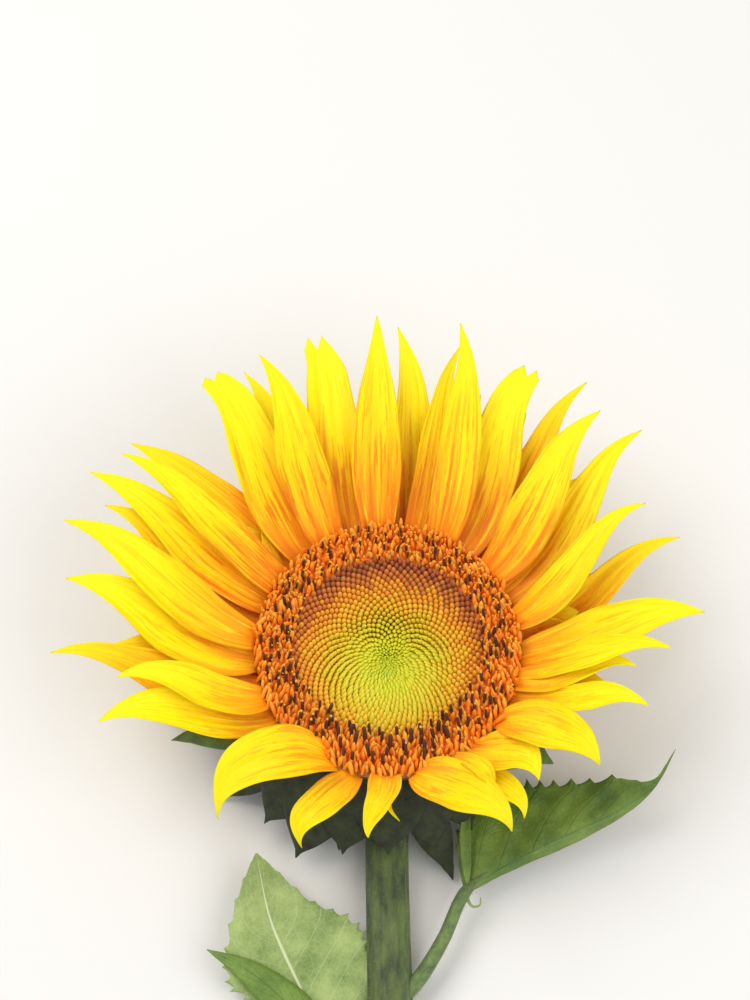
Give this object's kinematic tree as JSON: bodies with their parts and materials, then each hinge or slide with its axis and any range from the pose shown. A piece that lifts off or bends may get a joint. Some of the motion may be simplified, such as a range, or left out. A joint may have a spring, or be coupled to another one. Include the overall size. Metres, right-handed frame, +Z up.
{
  "type": "cut sunflower",
  "caption": "Cut sunflower lying on its back: a broad yellow bloom with a shallow dished disc, its green involucre, a hairy length of stem and leaves on their petioles.",
  "frame": {"origin": "on the floor under the middle of the whole flower as it lies", "axes": "+Z up, +Y along the stem from its cut end towards the bloom, +X to the right of the bloom as it is looked down on"},
  "size_m": [0.2596, 0.354, 0.0744],
  "materials": {
    "ray": "satin petal",
    "disc_floret": "matt",
    "involucre": "matt, finely hairy",
    "stem": "satin, hairy",
    "leaf": "satin",
    "leaf_underside": "matt"
  },
  "bodies": {
    "root": {"stem": "stem", "involucre": "involucre", "disc": "disc_floret", "ray_01": "ray", "ray_02": "ray", "ray_03": "ray", "ray_04": "ray", "ray_05": "ray", "ray_06": "ray", "ray_07": "ray", "ray_08": "ray", "ray_09": "ray", "ray_10": "ray", "ray_11": "ray", "ray_12": "ray", "ray_13": "ray", "ray_14": "ray", "ray_15": "ray", "ray_16": "ray", "ray_17": "ray", "ray_18": "ray", "ray_19": "ray", "ray_20": "ray", "ray_21": "ray", "ray_22": "ray", "ray_23": "ray", "ray_24": "ray", "ray_25": "ray", "ray_26": "ray", "ray_27": "ray", "ray_28": "ray", "ray_29": "ray", "ray_30": "ray", "ray_31": "ray", "ray_32": "ray", "ray_33": "ray", "ray_34": "ray", "ray_35": "ray", "petiole_right": "leaf", "petiole_left": "leaf_underside", "leaf_right": "leaf", "leaf_left": "leaf_underside"}
  },
  "joints": []
}
